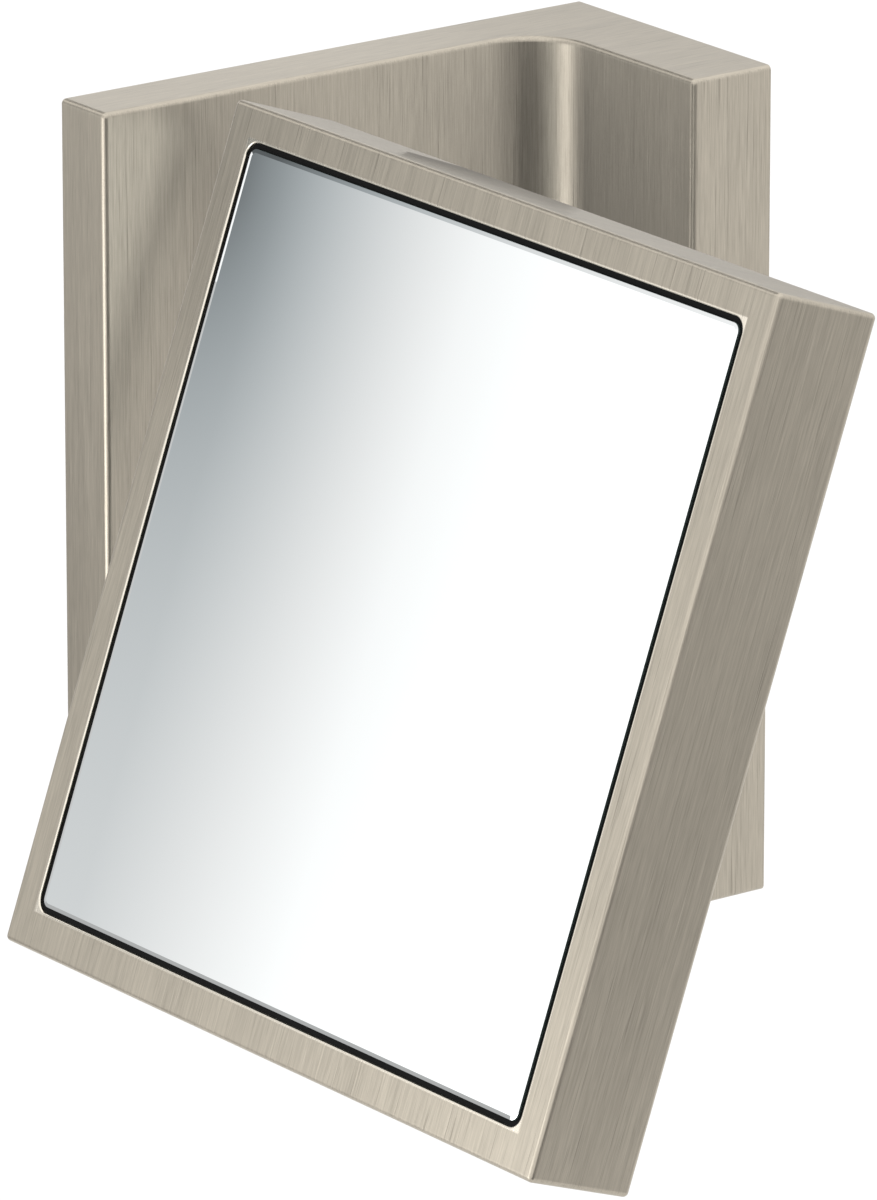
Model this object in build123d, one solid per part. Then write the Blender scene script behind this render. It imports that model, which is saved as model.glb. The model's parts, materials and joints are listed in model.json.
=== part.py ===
from build123d import *
import os
from math import asin, cos, degrees, radians, sin

# Wall-mounted shaving mirror. A square mirror head hangs on a friction hinge from the arm of an
# L-shaped bracket, and tilts about a level axis that runs parallel to the wall.
#
# Millimetres, +Z up. The wall is the plane Y = 0 and the object stands out towards -Y. The origin is
# midway between the two wall screws. Pieces of the head are drawn upright, with the hinge axis along X
# through (Y, Z) = (0, 0), and place_on_hinge() moves them to the arm and leans them back.

# ---- Driving dimensions ----
HEIGHT = 160.0            # of the bracket, and both sides of the square head
PLATE_WIDTH = 59.0        # bracket leg that lies on the wall
PLATE_DEPTH = 18.0
ARM_REACH = 118.0         # from the wall to the arm's free end
ARM_THICKNESS = 14.0
INNER_RADIUS = 12.0       # hollow corner between the two legs
EDGE_RADIUS = 1.0         # every outer edge
SHELL = 3.0               # wall thickness of the bracket and of the head
PLATE_FRONT = 4.0         # front wall of the wall leg

HEAD_DEPTH = 23.0
SIDE_GAP = 3.0            # between the arm and the head
REST_TILT = 19.5          # degrees that the head leans back at rest
TILT_LIMIT = 45.0         # degrees each way from upright
BEZEL = 6.95              # frame around the glass, left and right
BEZEL_DEPTH = 2.5
WINDOW_RISE = 0.6         # the window and the glass sit this far above the head's middle
WINDOW_RADIUS = 2.8
LIP_RADIUS = 0.3

GLASS_GAP = 1.15          # dark joint between the glass and the bezel
GLASS_DEPTH = 3.0
GLASS_RECESS = 0.05
GLASS_BEVEL = (0.7, 0.12)  # width on the face, depth on the edge
SEAL_RECESS = 0.7         # of the black strip in that joint
SEAL_DEPTH = 1.2
TAPE_DEPTH = 0.8
TAPE_LENGTH = 124.0
TAPE_WIDTH = 10.0
TAPE_PLACES = (-60.0, -36.0, 36.0, 60.0)  # height of each strip's middle
CARRIER_DEPTH = 1.5
CARRIER_GAP = 0.5         # around the carrier
HINGE_ROOM = 3.0          # between the carrier and the hinge
COVER_DEPTH = 2.0
COVER_RECESS = 0.2
COVER_GAP = 0.2           # around the cover
HIDDEN_CORNER = 1.0       # corner radius inside the head

SCREW_SPACING = 100.0     # between the two wall screws, one above the other
SLOT_LENGTH = 12.0
SLOT_RADIUS = 2.75
MOUNT_SHEET = 2.5         # steel of the wall mount
MOUNT_WIDTH = 44.0
MOUNT_HEIGHT = 144.0
FLANGE_WIDTH = 36.0
FLANGE_DEPTH = 13.0
HOOK_RISE = 2.5           # upturned edge that the bracket hooks over
LOCK_SPREAD = 12.0        # each locking screw and hanging rib from the middle
LOCK_DEPTH = 7.5          # locking screws from the wall
LOCK_BOSS = 4.5           # radius of the boss round each locking screw
LOCK_RECESS = 0.5         # of those screws' sockets in the bracket's underside
RIB_WIDTH = 3.0
MOUNT_CORNER = 4.0
MOUNT_CLEARANCE = 0.2     # between the mount's hook and the ribs that hang on it

AXLE_RADIUS = 4.0
AXLE_SEAT = 10.0          # length of the axle inside the arm
AXLE_BOSS = 9.0           # radius of the boss round that seat
SHAFT_CLEARANCE = 0.05
BUSH_RADIUS = 5.0
LOCK_FLAT_END = 1.0       # the seat is round again this far inside the arm's face
COLLAR_RADIUS = 7.5       # of the axle, in the gap between the arm and the head
COLLAR_FLAT = 6.5         # from the axis to the collar's spanner flats
FRICTION_WASHER = 0.8
FILM = 0.02               # between faces that slide on each other
KEYED_RADIUS = 3.5        # flatted end of the axle
KEY_FLAT = 2.7            # from the axis to the flat
THREAD_RADIUS = 3.0
THREAD_CHAMFER = 0.5
THREAD_SPARE = 3.0        # end of the axle beyond the nut
RING_RADIUS = 5.4         # inner friction washer and the ring of the tilt stop
STOP_DEPTH = 2.0
STOP_TIP = 8.0            # reach of the tilt stop's nose from the axis
STOP_HALF_WIDTH = 1.6
STOP_POST_RADIUS = 1.0
STOP_POST_CENTRE = 6.6    # from the axis
STOP_SLACK = 0.5          # degrees past the tilt limit before the nose meets a post
SPRING_SHEET = 0.5
SPRING_DISH = 0.5
SPRING_RADIUS = 7.3
SPRING_COUNT = 4
THRUST_DEPTH = 1.2
THRUST_RADIUS = 6.5
NUT_FLATS = 10.0
NUT_DEPTH = 4.5
NUT_COLLAR = (4.6, 1.5)   # radius and depth of its plastic collar
WASHER_CLEARANCE = 0.1
STOP_CLEARANCE = 0.2      # between the stop posts' ends and the first dished washer

GRUB_RADIUS = 2.5         # M5 grub screws
GRUB_HOLE = 2.55
GRUB_POINT = 1.2
GRUB_SOCKET = 2.5         # its width across flats, and its depth
AXLE_GRUB_LENGTH = 8.0
SCREW_RADIUS = 1.45       # M3 countersunk screws
SCREW_HOLE = 1.5
SCREW_HEAD = 2.9
HEAD_CLEARANCE = 0.1
SCREW_SOCKET = (2.0, 1.2)  # across flats, and depth
PAN_HEAD = (1.8, 1.4, 0.5)  # radius, depth and crown of the carrier screws' heads
CROSS_SLOT = (1.2, 0.25)  # half the length and half the width of each slot
BLOCK_SCREW_LENGTH = 14.0
COVER_SCREW_LENGTH = 10.0

CLEARANCE = 0.1           # between a hidden piece and what it passes
OVERLAP = 0.5             # how far a rib, post or lug runs into the wall that it grows from
THROUGH = 1.0             # how far a cut runs past the material
TOUCH = 0.01              # how near a face counts as on it

# ---- Places that follow from them ----
HALF = HEIGHT / 2
ARM_OUTER = -PLATE_WIDTH / 2
ARM_INNER = ARM_OUTER + ARM_THICKNESS
ARM_MIDDLE = (ARM_OUTER + ARM_INNER) / 2
PIVOT_Y = HEAD_DEPTH / 2 - ARM_REACH
HEAD_LEFT = ARM_INNER + SIDE_GAP
HEAD_RIGHT = HEAD_LEFT + HEIGHT
HEAD_MIDDLE = (HEAD_LEFT + HEAD_RIGHT) / 2
FRONT = -HEAD_DEPTH / 2
BACK = HEAD_DEPTH / 2
WINDOW = HEIGHT - 2 * BEZEL
GLASS = WINDOW - 2 * GLASS_GAP
GLASS_CORNER = WINDOW_RADIUS - GLASS_GAP
GLASS_FRONT = FRONT + GLASS_RECESS
TAPE_FRONT = GLASS_FRONT + GLASS_DEPTH
CARRIER_FRONT = TAPE_FRONT + TAPE_DEPTH
CARRIER_BACK = CARRIER_FRONT + CARRIER_DEPTH
COVER_FRONT = BACK - COVER_RECESS - COVER_DEPTH
INSIDE = HEIGHT - 2 * SHELL

POST = 7.0                # corner posts for the cover screws
POST_CENTRE = HALF - SHELL - POST / 2
POST_FRONT = CARRIER_FRONT + CLEARANCE
LUG = (3.8, 14.0)         # carrier lugs behind the bezel: across it and along it
LUG_CENTRE = HALF - SHELL - LUG[0] / 2
LUG_ROOT = 0.6            # each lug runs this far into the side that it stands on
LUG_SPREAD = 40.0         # each lug from the middle of its side
SMALL_SCREW = 1.1         # radius of the carrier screws' holes
CARRIER_SCREW_DEPTH = 3.0

BLOCK_LEFT = HEAD_LEFT + SHELL
BLOCK_RIGHT = BLOCK_LEFT + 25.5
BLOCK_FRONT = CARRIER_FRONT + CLEARANCE
BLOCK_BACK = COVER_FRONT - 2 * CLEARANCE
BLOCK_HALF_HEIGHT = 22.0
BLOCK_SCREW_PLACES = [(y, z) for y in (-3.6, 5.4) for z in (-14.0, 14.0)]
BUSH_LENGTH = 9.0
WASHER_OUT = HEAD_LEFT - FRICTION_WASHER
COLLAR_END = WASHER_OUT - FILM
JOURNAL_END = BLOCK_RIGHT + FRICTION_WASHER
STOP_START = JOURNAL_END + FILM
STOP_END = STOP_START + STOP_DEPTH
SPRING_END = STOP_END + SPRING_COUNT * (SPRING_SHEET + SPRING_DISH)
THRUST_END = SPRING_END + THRUST_DEPTH
NUT_END = THRUST_END + NUT_DEPTH
AXLE_END = NUT_END + THREAD_SPARE
AXLE_START = ARM_INNER - AXLE_SEAT
LOCK_FLAT = AXLE_RADIUS - 0.5
LOCK_BOSS_TOP = -HALF + SHELL + 2.0


# ---- Small helpers ----
def block(x, y, z):
    """A box from its low and high limits along each axis."""
    size = [high - low for low, high in (x, y, z)]
    middle = [(high + low) / 2 for low, high in (x, y, z)]
    return Pos(*middle) * Box(*size)


def rod_x(radius, start, end, y=0.0, z=0.0):
    """A cylinder along X."""
    return Pos((start + end) / 2, y, z) * Rot(0, 90, 0) * Cylinder(radius, end - start)


def rod_y(radius, start, end, x=0.0, z=0.0):
    """A cylinder along Y."""
    return Pos(x, (start + end) / 2, z) * Rot(90, 0, 0) * Cylinder(radius, end - start)


def rod_z(radius, start, end, x=0.0, y=0.0):
    """A cylinder along Z."""
    return Pos(x, y, (start + end) / 2) * Cylinder(radius, end - start)


def hexagon(across_flats, depth):
    """A hexagonal prism along Z, from 0 up to its depth."""
    return extrude(RegularPolygon(across_flats / 2, 6, major_radius=False), depth)


def square_sheet(side, corner, front, back, rise=0.0):
    """A square with rounded corners, upright in the head, from its front to its back."""
    outline = Plane.XZ * RectangleRounded(side, side, corner)
    return Pos(HEAD_MIDDLE, back, rise) * extrude(outline, back - front)


def keyed_ring(radius, start, end):
    """A ring on the axle's flatted end."""
    hole = rod_x(KEYED_RADIUS + SHAFT_CLEARANCE, start - THROUGH, end + THROUGH)
    flat = -KEY_FLAT - SHAFT_CLEARANCE
    hole -= block((start - 2 * THROUGH, end + 2 * THROUGH), (-radius, radius), (-radius, flat))
    return rod_x(radius, start, end) - hole


def place_on_hinge(piece):
    """Leans a piece of the head back and moves it to the arm."""
    return Pos(0, PIVOT_Y, 0) * Rot(-REST_TILT, 0, 0) * piece


def place_on_axle(piece):
    """Moves a piece that stays with the arm to the hinge axis."""
    return Pos(0, PIVOT_Y, 0) * piece


def side_places(centre, spread):
    """Two points (x, z) near each side of the head, and whether that side is level."""
    for sign in (-1, 1):
        for along in (-spread, spread):
            yield HEAD_MIDDLE + along, sign * centre, True
            yield HEAD_MIDDLE + sign * centre, along, False


def corner_places(centre):
    """The four points (x, z) in the head's corners."""
    return [(HEAD_MIDDLE + i * centre, k * centre) for i in (-1, 1) for k in (-1, 1)]


def countersunk_screw(length):
    """A screw along Z with its flush head at the origin and its end at -length."""
    screw = rod_z(SCREW_RADIUS, -length, 0)
    neck = SCREW_RADIUS - SCREW_HEAD
    screw += Pos(0, 0, neck / 2) * Cone(SCREW_RADIUS, SCREW_HEAD, -neck)
    across_flats, depth = SCREW_SOCKET
    return screw - Pos(0, 0, -depth) * hexagon(across_flats, depth + THROUGH)


def countersunk_hole(length):
    """The hole that such a screw drops into."""
    wide = SCREW_HEAD + HEAD_CLEARANCE
    neck = SCREW_HOLE - wide
    return rod_z(SCREW_HOLE, -length, 0) + Pos(0, 0, neck / 2) * Cone(SCREW_HOLE, wide, -neck)


def from_the_left(y, z):
    """Turns a screw or its hole to enter the head's left side."""
    return Pos(HEAD_LEFT, y, z) * Rot(0, -90, 0)


def from_behind(x, z):
    """Turns a screw or its hole to enter the back cover."""
    return Pos(x, COVER_FRONT + COVER_DEPTH, z) * Rot(-90, 0, 0)


# ---- Bracket ----
def bracket_body():
    """The hollow L, open towards the wall, with its bosses and hanging ribs."""
    plan = Polyline(
        (ARM_OUTER, 0), (PLATE_WIDTH / 2, 0), (PLATE_WIDTH / 2, -PLATE_DEPTH),
        (ARM_INNER, -PLATE_DEPTH), (ARM_INNER, -ARM_REACH), (ARM_OUTER, -ARM_REACH), close=True,
    )
    outline = make_face(plan)
    inner_corner = outline.vertices().sort_by_distance((ARM_INNER, -PLATE_DEPTH, 0))[0]
    outline = fillet(inner_corner, INNER_RADIUS)
    body = Pos(0, 0, -HALF) * extrude(outline, HEIGHT)
    free_edges = body.edges().filter_by(lambda edge: edge.bounding_box().min.Y < -TOUCH)
    body = fillet(free_edges, EDGE_RADIUS)

    level = (-HALF + SHELL, HALF - SHELL)
    outer = (ARM_OUTER + SHELL, PLATE_WIDTH / 2 - SHELL)
    inner = (ARM_OUTER + SHELL, ARM_INNER - SHELL)
    body -= block(outer, (-PLATE_DEPTH + PLATE_FRONT, THROUGH), level)
    body -= block(inner, (-ARM_REACH + SHELL, 0), level)

    across = (inner[0] - OVERLAP, inner[1] + OVERLAP)
    lock_block_end = PIVOT_Y + AXLE_RADIUS + AXLE_SEAT
    body += rod_x(AXLE_BOSS, *across, PIVOT_Y)
    body += block(across, (PIVOT_Y, lock_block_end), (-2 * GRUB_RADIUS, 2 * GRUB_RADIUS))
    seat = (AXLE_START - THROUGH, ARM_INNER + THROUGH)
    body -= rod_x(AXLE_RADIUS + SHAFT_CLEARANCE, *seat, PIVOT_Y)
    body -= rod_y(GRUB_HOLE, PIVOT_Y, lock_block_end + THROUGH, ARM_MIDDLE)

    rib_depth = (-FLANGE_DEPTH + MOUNT_SHEET + MOUNT_CLEARANCE, -SHELL)
    rib_height = (MOUNT_HEIGHT / 2, HALF - SHELL + OVERLAP)
    for x in (-LOCK_SPREAD, LOCK_SPREAD):
        body += block((x - RIB_WIDTH / 2, x + RIB_WIDTH / 2), rib_depth, rib_height)
        body += rod_z(LOCK_BOSS, -HALF + SHELL - OVERLAP, LOCK_BOSS_TOP, x, -LOCK_DEPTH)
        body -= rod_z(GRUB_HOLE, -HALF - THROUGH, LOCK_BOSS_TOP + THROUGH, x, -LOCK_DEPTH)
    return body


def wall_mount_plate():
    """The bent steel plate that is screwed to the wall inside the bracket."""
    half_height = MOUNT_HEIGHT / 2
    half_width = MOUNT_WIDTH / 2
    plate = block((-half_width, half_width), (-MOUNT_SHEET, 0), (-half_height, half_height))
    plate = fillet(plate.edges().filter_by(Axis.Y), MOUNT_CORNER)
    flange = (-FLANGE_WIDTH / 2, FLANGE_WIDTH / 2)
    for low in (-half_height, half_height - MOUNT_SHEET):
        plate += block(flange, (-FLANGE_DEPTH, 0), (low, low + MOUNT_SHEET))
    lip = (-FLANGE_DEPTH, -FLANGE_DEPTH + MOUNT_SHEET)
    plate += block(flange, lip, (half_height - MOUNT_SHEET, half_height + HOOK_RISE))
    slot = Plane.XZ * Rot(0, 0, 90) * SlotOverall(SLOT_LENGTH, 2 * SLOT_RADIUS)
    for z in (-SCREW_SPACING / 2, SCREW_SPACING / 2):
        plate -= Pos(0, THROUGH, z) * extrude(slot, MOUNT_SHEET + 2 * THROUGH)
    return plate


def grub_screw(length):
    """A grub screw along Z, its cone point at the origin and its socket at the top."""
    screw = Pos(0, 0, GRUB_POINT / 2) * Cone(GRUB_RADIUS - GRUB_POINT, GRUB_RADIUS, GRUB_POINT)
    screw += rod_z(GRUB_RADIUS, GRUB_POINT, length)
    return screw - Pos(0, 0, length - GRUB_SOCKET) * hexagon(GRUB_SOCKET, GRUB_SOCKET + THROUGH)


def mount_locking_screws():
    """Two grub screws in the bracket's underside, tightened against the wall mount."""
    tip = -MOUNT_HEIGHT / 2
    screw = grub_screw(HALF - LOCK_RECESS + tip)
    return [Pos(x, -LOCK_DEPTH, tip) * Rot(180, 0, 0) * screw for x in (-LOCK_SPREAD, LOCK_SPREAD)]


def axle_locking_screw():
    """The grub screw that holds the axle, reached from the bracket's open back."""
    return Pos(ARM_MIDDLE, PIVOT_Y + LOCK_FLAT, 0) * Rot(-90, 0, 0) * grub_screw(AXLE_GRUB_LENGTH)


# ---- Hinge, the pieces that stay with the arm ----
def hinge_axle():
    """The stepped pin: seat in the arm, collar, journal, flatted end and thread."""
    axle = rod_x(AXLE_RADIUS, AXLE_START, JOURNAL_END)
    collar = rod_x(COLLAR_RADIUS, ARM_INNER, COLLAR_END)
    for sign in (-1, 1):
        side = sorted((sign * COLLAR_FLAT, sign * (COLLAR_RADIUS + THROUGH)))
        length = (ARM_INNER - THROUGH, COLLAR_END + THROUGH)
        collar -= block(length, (-COLLAR_RADIUS, COLLAR_RADIUS), side)
    across = (-AXLE_RADIUS, AXLE_RADIUS)
    keyed = rod_x(KEYED_RADIUS, JOURNAL_END, THRUST_END)
    keyed -= block((JOURNAL_END - THROUGH, THRUST_END + THROUGH), across, (-AXLE_RADIUS, -KEY_FLAT))
    thread = rod_x(THREAD_RADIUS, THRUST_END, AXLE_END)
    thread = chamfer(thread.edges().sort_by(Axis.X)[-1], THREAD_CHAMFER)
    axle += collar + keyed + thread
    locked = (AXLE_START - THROUGH, ARM_INNER - LOCK_FLAT_END)
    axle -= block(locked, (LOCK_FLAT, AXLE_RADIUS + THROUGH), across)
    return place_on_axle(axle)


def tilt_stop():
    """The keyed ring whose nose meets the hinge block's posts at each end of the tilt."""
    nose_height = (RING_RADIUS - OVERLAP, STOP_TIP)
    nose = block((STOP_START, STOP_END), (-STOP_HALF_WIDTH, STOP_HALF_WIDTH), nose_height)
    return place_on_axle(keyed_ring(RING_RADIUS, STOP_START, STOP_END) + nose)


def disc_springs():
    """Dished washers, set alternately, that press the hinge together."""
    bore = KEYED_RADIUS + WASHER_CLEARANCE
    discs = []
    for i in range(SPRING_COUNT):
        start = STOP_END + i * (SPRING_SHEET + SPRING_DISH)
        inner, outer = (0, SPRING_DISH) if i % 2 == 0 else (SPRING_DISH, 0)
        section = Polyline(
            (start + inner, bore), (start + inner + SPRING_SHEET, bore),
            (start + outer + SPRING_SHEET, SPRING_RADIUS), (start + outer, SPRING_RADIUS), close=True,
        )
        discs.append(place_on_axle(revolve(make_face(section), Axis.X)))
    return discs


def thrust_washer():
    """The keyed washer under the nut."""
    return place_on_axle(keyed_ring(THRUST_RADIUS, SPRING_END, THRUST_END))


def lock_nut():
    """The self-locking nut that sets the hinge's friction."""
    nut = Pos(THRUST_END, 0, 0) * Rot(0, 90, 0) * hexagon(NUT_FLATS, NUT_DEPTH)
    collar_radius, collar_depth = NUT_COLLAR
    nut += rod_x(collar_radius, NUT_END, NUT_END + collar_depth)
    return place_on_axle(nut - rod_x(THREAD_RADIUS + SHAFT_CLEARANCE, THRUST_END - THROUGH, AXLE_END))


# ---- Hinge, the pieces that turn with the head ----
def friction_washer(radius, start, end):
    """A plastic washer on the axle's journal."""
    bore = rod_x(AXLE_RADIUS + WASHER_CLEARANCE, start - THROUGH, end + THROUGH)
    return place_on_hinge(rod_x(radius, start, end) - bore)


def outer_friction_washer():
    """The plastic washer between the axle's collar and the head."""
    return friction_washer(COLLAR_RADIUS, WASHER_OUT, HEAD_LEFT)


def inner_friction_washer():
    """The plastic washer between the hinge block and the tilt stop."""
    return friction_washer(RING_RADIUS, BLOCK_RIGHT, JOURNAL_END)


def axle_bushes():
    """Two bronze bushes, pressed into the hinge block."""
    bushes = []
    for start in (BLOCK_LEFT, BLOCK_RIGHT - BUSH_LENGTH):
        end = start + BUSH_LENGTH
        bore = rod_x(AXLE_RADIUS + SHAFT_CLEARANCE, start - THROUGH, end + THROUGH)
        bushes.append(place_on_hinge(rod_x(BUSH_RADIUS, start, end) - bore))
    return bushes


def hinge_block():
    """The block behind the glass that turns on the axle, with its two stop posts."""
    height = (-BLOCK_HALF_HEIGHT, BLOCK_HALF_HEIGHT)
    body = block((BLOCK_LEFT, BLOCK_RIGHT), (BLOCK_FRONT, BLOCK_BACK), height)
    body = fillet(body.edges().filter_by(Axis.X), HIDDEN_CORNER)
    body -= rod_x(BUSH_RADIUS, BLOCK_LEFT - THROUGH, BLOCK_RIGHT + THROUGH)
    for y, z in BLOCK_SCREW_PLACES:
        body -= from_the_left(y, z) * countersunk_hole(BLOCK_SCREW_LENGTH + THROUGH)
    contact = degrees(asin((STOP_HALF_WIDTH + STOP_POST_RADIUS) / STOP_POST_CENTRE))
    angle = radians(TILT_LIMIT + contact + STOP_SLACK)
    for sign in (-1, 1):
        y, z = sign * STOP_POST_CENTRE * sin(angle), STOP_POST_CENTRE * cos(angle)
        post_length = (BLOCK_RIGHT - OVERLAP, STOP_END - STOP_CLEARANCE)
        body += rod_x(STOP_POST_RADIUS, *post_length, y, z)
    return place_on_hinge(body)


def hinge_block_screws():
    """Four countersunk screws through the head's side into the hinge block."""
    screw = countersunk_screw(BLOCK_SCREW_LENGTH)
    return [place_on_hinge(from_the_left(y, z) * screw) for y, z in BLOCK_SCREW_PLACES]


# ---- Mirror head ----
def is_window_lip(edge):
    """True for an edge of the window in the bezel's front face."""
    middle = edge.center()
    in_front_face = abs(edge.bounding_box().max.Y - FRONT) < TOUCH
    reach = max(abs(middle.X - HEAD_MIDDLE), abs(middle.Z - WINDOW_RISE))
    return in_front_face and reach < WINDOW / 2 + TOUCH


def head_frame():
    """The deep square frame: bezel, four sides, corner posts and carrier lugs."""
    body = block((HEAD_LEFT, HEAD_RIGHT), (FRONT, BACK), (-HALF, HALF))
    body = fillet(body.edges(), EDGE_RADIUS)
    body -= square_sheet(INSIDE, HIDDEN_CORNER, FRONT + BEZEL_DEPTH, BACK + THROUGH)
    body -= square_sheet(WINDOW, WINDOW_RADIUS, FRONT - THROUGH, BACK, WINDOW_RISE)
    body = fillet(body.edges().filter_by(is_window_lip), LIP_RADIUS)

    reach = POST / 2 + OVERLAP
    for x, z in corner_places(POST_CENTRE):
        body += block((x - reach, x + reach), (POST_FRONT, COVER_FRONT), (z - reach, z + reach))
        body -= from_behind(x, z) * countersunk_hole(COVER_SCREW_LENGTH + THROUGH)
    lug_depth = (FRONT + BEZEL_DEPTH - OVERLAP, CARRIER_FRONT)
    across = LUG[0] + LUG_ROOT
    for x, z, level in side_places(LUG_CENTRE + LUG_ROOT / 2, LUG_SPREAD):
        wide, tall = (LUG[1], across) if level else (across, LUG[1])
        body += block((x - wide / 2, x + wide / 2), lug_depth, (z - tall / 2, z + tall / 2))
    for x, z, _ in side_places(LUG_CENTRE, LUG_SPREAD):
        hole_depth = (CARRIER_FRONT - CARRIER_SCREW_DEPTH, CARRIER_FRONT + THROUGH)
        body -= rod_y(SMALL_SCREW, *hole_depth, x, z)

    body -= rod_x(BUSH_RADIUS + 3 * CLEARANCE, HEAD_LEFT - THROUGH, BLOCK_LEFT + THROUGH)
    for y, z in BLOCK_SCREW_PLACES:
        body -= from_the_left(y, z) * countersunk_hole(BLOCK_SCREW_LENGTH)
    return place_on_hinge(body)


def mirror_glass():
    """The silvered glass with its narrow polished bevel."""
    glass = square_sheet(GLASS, GLASS_CORNER, GLASS_FRONT, TAPE_FRONT, WINDOW_RISE)
    rim = glass.faces().sort_by(Axis.Y)[0].outer_wire().edges()
    return place_on_hinge(chamfer(rim, *GLASS_BEVEL, reference=glass.faces().sort_by(Axis.Y)[0]))


def glass_seal():
    """The black strip in the joint around the glass."""
    slack = 0.05
    front, back = FRONT + SEAL_RECESS, FRONT + SEAL_RECESS + SEAL_DEPTH
    seal = square_sheet(WINDOW - 2 * slack, WINDOW_RADIUS - slack, front, back, WINDOW_RISE)
    seal -= square_sheet(GLASS + 2 * slack, GLASS_CORNER + slack,
                         front - THROUGH, back + THROUGH, WINDOW_RISE)
    return place_on_hinge(seal)


def adhesive_strips():
    """Four level strips of foam tape that hold the glass on its carrier."""
    length = (HEAD_MIDDLE - TAPE_LENGTH / 2, HEAD_MIDDLE + TAPE_LENGTH / 2)
    strip = block(length, (TAPE_FRONT, CARRIER_FRONT), (-TAPE_WIDTH / 2, TAPE_WIDTH / 2))
    return [place_on_hinge(Pos(0, 0, z) * strip) for z in TAPE_PLACES]


def mirror_carrier():
    """The sheet that carries the glass, cut away at the posts and the hinge."""
    sheet = square_sheet(INSIDE - 2 * CARRIER_GAP, HIDDEN_CORNER, CARRIER_FRONT, CARRIER_BACK)
    depth = (CARRIER_FRONT - THROUGH, CARRIER_BACK + THROUGH)
    reach = POST / 2 + CARRIER_GAP + CLEARANCE
    for x, z in corner_places(POST_CENTRE):
        sheet -= block((x - reach, x + reach), depth, (z - reach, z + reach))
    hinge_room = BLOCK_HALF_HEIGHT + HINGE_ROOM
    sheet -= block((HEAD_LEFT, AXLE_END + HINGE_ROOM), depth, (-hinge_room, hinge_room))
    for x, z, _ in side_places(LUG_CENTRE, LUG_SPREAD):
        sheet -= rod_y(SMALL_SCREW + 2 * CLEARANCE, *depth, x, z)
    return place_on_hinge(sheet)


def carrier_screws():
    """Eight pan-head screws that hold the carrier to the lugs."""
    head_radius, head_depth, crown = PAN_HEAD
    top = CARRIER_BACK + head_depth
    head = rod_y(head_radius, CARRIER_BACK, top)
    head = fillet(head.edges().sort_by(Axis.Y)[-1], crown)
    long, short = CROSS_SLOT
    for wide, tall in ((long, short), (short, long)):
        head -= block((-wide, wide), (top - head_depth / 2, top + THROUGH), (-tall, tall))
    tip = CARRIER_FRONT - CARRIER_SCREW_DEPTH + 2 * CLEARANCE
    screw = head + rod_y(SMALL_SCREW - SHAFT_CLEARANCE, tip, CARRIER_BACK)
    return [place_on_hinge(Pos(x, 0, z) * screw) for x, z, _ in side_places(LUG_CENTRE, LUG_SPREAD)]


def back_cover():
    """The flat cover set into the back of the head."""
    corner = HIDDEN_CORNER - COVER_GAP
    cover = square_sheet(INSIDE - 2 * COVER_GAP, corner, COVER_FRONT, COVER_FRONT + COVER_DEPTH)
    for x, z in corner_places(POST_CENTRE):
        cover -= from_behind(x, z) * countersunk_hole(COVER_SCREW_LENGTH)
    return place_on_hinge(cover)


def back_cover_screws():
    """Four countersunk screws through the cover into the posts."""
    screw = countersunk_screw(COVER_SCREW_LENGTH)
    return [place_on_hinge(from_behind(x, z) * screw) for x, z in corner_places(POST_CENTRE)]


SUB_PARTS = (
    bracket_body, wall_mount_plate, mount_locking_screws, axle_locking_screw, hinge_axle, tilt_stop,
    disc_springs, thrust_washer, lock_nut, outer_friction_washer, inner_friction_washer, axle_bushes,
    hinge_block, hinge_block_screws, head_frame, mirror_glass, glass_seal, adhesive_strips,
    mirror_carrier, carrier_screws, back_cover, back_cover_screws,
)

os.makedirs("parts", exist_ok=True)
for make in SUB_PARTS:
    shape = make()
    if isinstance(shape, list):
        shape = Compound(children=shape)
    export_step(shape, f"parts/{make.__name__}.step")
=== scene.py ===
"""Finishes and studio for a wall-mounted shaving mirror: a brushed nickel bracket and a tilting mirror head.

Lengths are in metres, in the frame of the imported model: X across the wall, Y into the wall, Z up.
The head's own upright axes lean back with it, so its finish is laid out along those.
"""

import json
import math

import bmesh
import bpy
from bpy.props import FloatProperty, FloatVectorProperty, PointerProperty
from mathutils import Matrix, Vector


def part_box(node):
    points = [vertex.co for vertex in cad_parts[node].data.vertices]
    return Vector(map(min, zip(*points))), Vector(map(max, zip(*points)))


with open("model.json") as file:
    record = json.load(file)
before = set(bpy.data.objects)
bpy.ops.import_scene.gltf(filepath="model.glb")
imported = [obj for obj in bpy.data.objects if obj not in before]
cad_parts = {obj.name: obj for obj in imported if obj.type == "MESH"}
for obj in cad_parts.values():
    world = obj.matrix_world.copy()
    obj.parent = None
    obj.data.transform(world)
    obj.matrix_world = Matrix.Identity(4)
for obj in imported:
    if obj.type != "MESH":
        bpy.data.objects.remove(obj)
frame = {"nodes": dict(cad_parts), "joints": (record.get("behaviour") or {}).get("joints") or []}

bl_info = {
    "name": "Shaving Mirror Finishes",
    "version": (1, 0, 0),
    "blender": (4, 5, 0),
    "location": "View3D > Sidebar > Mirror",
    "description": "Puts the metal, glass and seal finishes on a shaving mirror and lights it",
    "category": "Object",
}

MM = 0.001
NODES = frame["nodes"]
TILT_JOINT = frame["joints"][0]
PIVOT = Vector(TILT_JOINT["pos_m"])
HEAD_LEAN = math.radians(19.5)
HEAD_UP = Vector((0, math.sin(HEAD_LEAN), math.cos(HEAD_LEAN)))
HEAD_FRONT = Vector((0, -math.cos(HEAD_LEAN), math.sin(HEAD_LEAN)))
ACROSS = Vector((1, 0, 0))

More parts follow.
